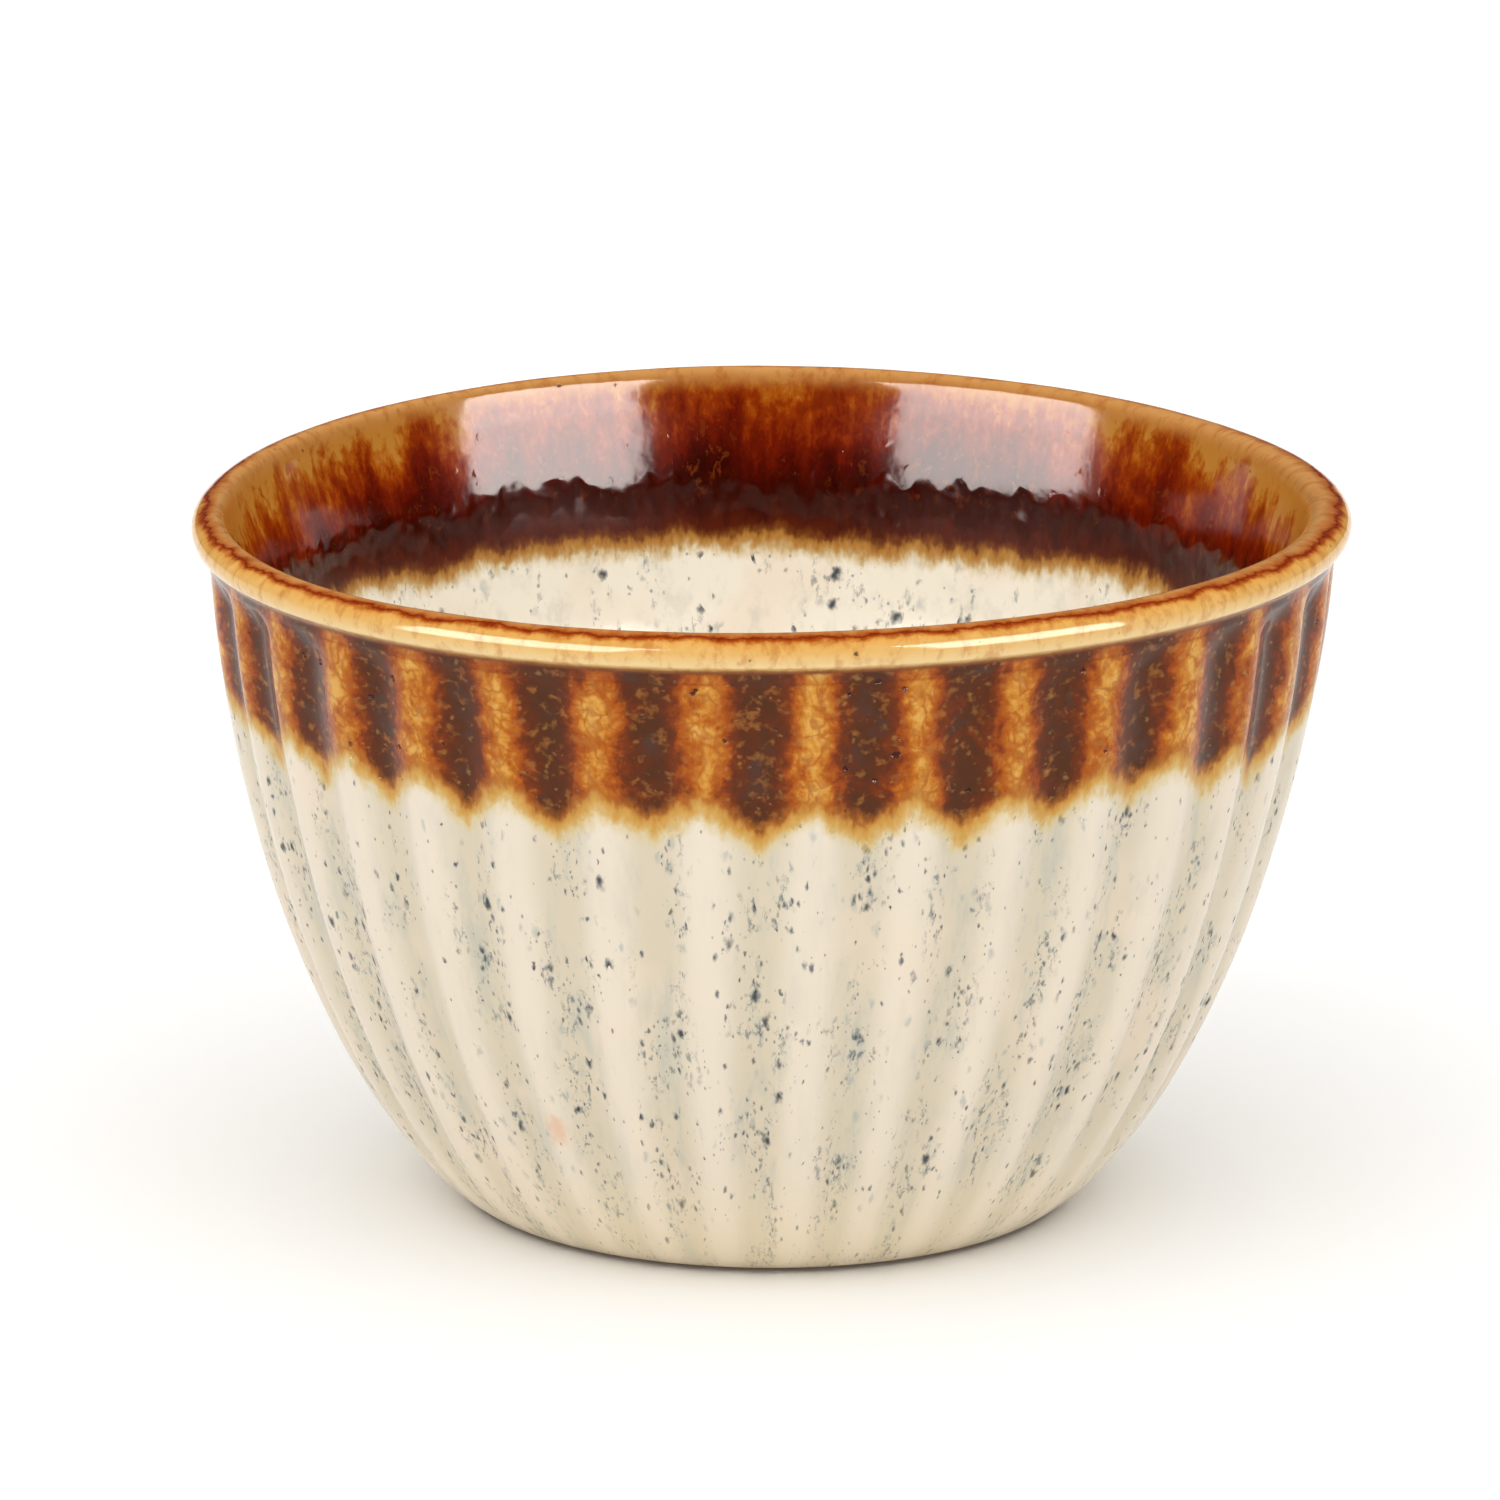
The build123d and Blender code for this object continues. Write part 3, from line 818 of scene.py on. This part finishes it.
def add_softbox(name, azimuth, elevation, distance, size, power):
    """A rectangular light that faces the rim; azimuth 0 is the viewer's side, positive to the
    right. It only makes the reflections in the glaze: the even light comes from the skies."""
    turn, lift = math.radians(azimuth), math.radians(elevation)
    aim = Vector((0.0, 0.0, 0.06))
    place = aim + distance * Vector((math.cos(lift) * math.sin(turn), -math.cos(lift) * math.cos(turn),
                                     math.sin(lift)))
    data = bpy.data.lights.new(name, "AREA")
    data.shape, data.size, data.size_y, data.energy = "RECTANGLE", size[0], size[1], power
    data.color = SOFTBOX_TINT
    lamp = bpy.data.objects.new(name, data)
    lamp.location = place
    lamp.rotation_euler = (aim - place).to_track_quat("-Z", "Y").to_euler()
    lamp.visible_diffuse = False
    lamp.visible_camera = False
    bpy.context.scene.collection.objects.link(lamp)


def add_sky(name, strength, angle, tilt, turn):
    """A very wide soft light, tilted towards the viewer's side and turned about the upright, without
    a reflection of its own."""
    data = bpy.data.lights.new(name, "SUN")
    data.energy, data.angle = strength, math.radians(angle)
    lamp = bpy.data.objects.new(name, data)
    lamp.rotation_euler = (math.radians(tilt), 0.0, math.radians(turn))
    lamp.visible_camera = False
    lamp.visible_glossy = False
    bpy.context.scene.collection.objects.link(lamp)


def build_light():
    """Two soft boxes for the reflections, three skies for the even light, and a white ground
    behind everything that only the camera sees in full."""
    add_softbox("softbox_right", 51.0, 23.5, 1.0, (0.74, 0.74), SOFTBOX)
    add_softbox("softbox_left", -54.0, 23.5, 1.0, (0.86, 0.74), SOFTBOX)
    add_sky("ceiling", CEILING, 110.0, 0.0, 0.0)
    add_sky("front_right", FRONT_RIGHT, 60.0, 55.0, 40.0)
    add_sky("front_left", FRONT_LEFT, 60.0, 55.0, -40.0)
    world = bpy.data.worlds.new("studio_air")
    world.use_nodes = True
    nodes, links = world.node_tree.nodes, world.node_tree.links
    air = nodes["Background"]
    air.inputs["Color"].default_value = (1.0, 1.0, 1.0, 1.0)
    ray = nodes.new("ShaderNodeLightPath")
    in_glaze, seen = nodes.new("ShaderNodeMapRange"), nodes.new("ShaderNodeMapRange")
    in_glaze.inputs["To Min"].default_value = AIR
    in_glaze.inputs["To Max"].default_value = AIR_IN_GLAZE
    seen.inputs["To Max"].default_value = 1.0
    links.new(ray.outputs["Is Glossy Ray"], in_glaze.inputs["Value"])
    links.new(ray.outputs["Is Camera Ray"], seen.inputs["Value"])
    links.new(in_glaze.outputs["Result"], seen.inputs["To Min"])
    links.new(seen.outputs["Result"], air.inputs["Strength"])
    bpy.context.scene.world = world


def build_camera():
    """The photograph's view: a long lens, nearly 14 degrees above the rim."""
    lift = math.radians(CAMERA_ELEVATION)
    rim = Vector((0.0, 0.0, RIM_MIDDLE * MM))
    back = Vector((0.0, -math.cos(lift), math.sin(lift)))
    up = Vector((0.0, math.sin(lift), math.cos(lift)))
    place = rim + back * CAMERA_DISTANCE
    aim = rim + Vector((AIM_ASIDE, 0.0, 0.0)) - up * AIM_BELOW
    data = bpy.data.cameras.new("camera")
    data.lens, data.sensor_width, data.clip_start, data.clip_end = CAMERA_LENS, 36.0, 0.05, 60.0
    camera = bpy.data.objects.new("camera", data)
    turn = (aim - place).to_track_quat("-Z", "Y").to_matrix()
    camera.matrix_world = Matrix.Translation(place) @ (turn @ Matrix.Rotation(
        math.radians(-CAMERA_ROLL), 3, "Z")).to_4x4()
    bpy.context.scene.collection.objects.link(camera)
    bpy.context.scene.camera = camera


build_glaze()
build_clay()
build_floor()
build_light()
build_camera()
bpy.context.scene.view_settings.view_transform = "Standard"

bpy.context.view_layer.update()
